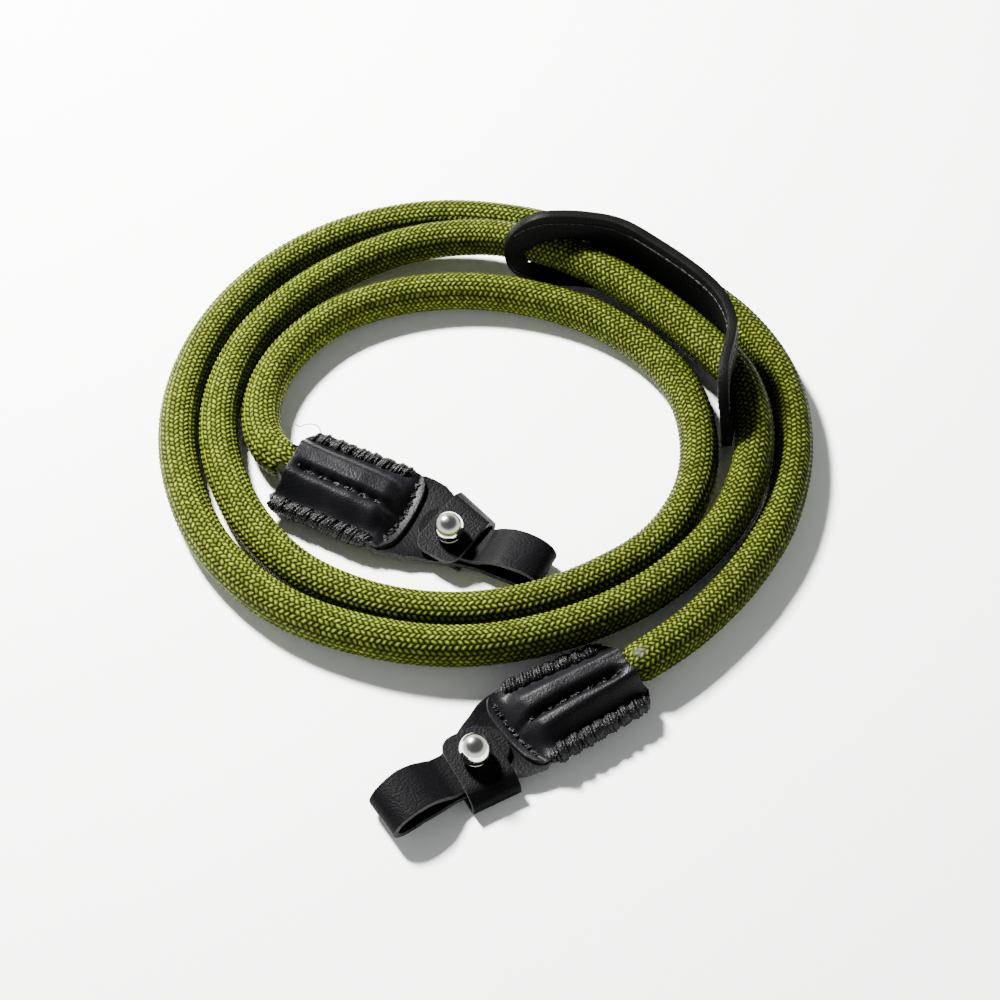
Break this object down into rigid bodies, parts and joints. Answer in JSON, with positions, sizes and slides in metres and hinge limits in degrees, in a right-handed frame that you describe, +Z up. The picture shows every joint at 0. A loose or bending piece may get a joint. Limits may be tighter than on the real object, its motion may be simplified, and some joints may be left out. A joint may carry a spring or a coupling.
{
  "type": "braided camera strap",
  "caption": "Round braided rope strap lying in loose loops, with a sewn leather fitting, folded strap loop and ball stud on each end and a leather shoulder pad threaded on it.",
  "frame": {"origin": "on the floor, under the middle of the box round the leather pieces and studs, without the rope", "axes": "+Z up, +Y away from the picture's viewpoint, +X to its right"},
  "size_m": [0.1653, 0.1958, 0.026],
  "materials": {
    "braid": "olive herringbone braid, matt with a light sheen",
    "strap_leather": "black grained, semi-matt",
    "cover_leather": "black fine-grained, soft sheen",
    "pad_leather": "black, semi-matt",
    "thread": "black waxed thread",
    "nickel": "polished nickel plate"
  },
  "bodies": {
    "root": {"rope": "braid", "shoulder_pad": "pad_leather", "inner_base_strap": "strap_leather", "inner_sleeve_cover": "cover_leather", "inner_rope_core": "braid", "inner_left_seam": "thread", "inner_right_seam": "thread", "inner_keeper": "strap_leather", "inner_ball_stud": "nickel", "outer_base_strap": "strap_leather", "outer_sleeve_cover": "cover_leather", "outer_rope_core": "braid", "outer_left_seam": "thread", "outer_right_seam": "thread", "outer_keeper": "strap_leather", "outer_ball_stud": "nickel"}
  },
  "joints": []
}
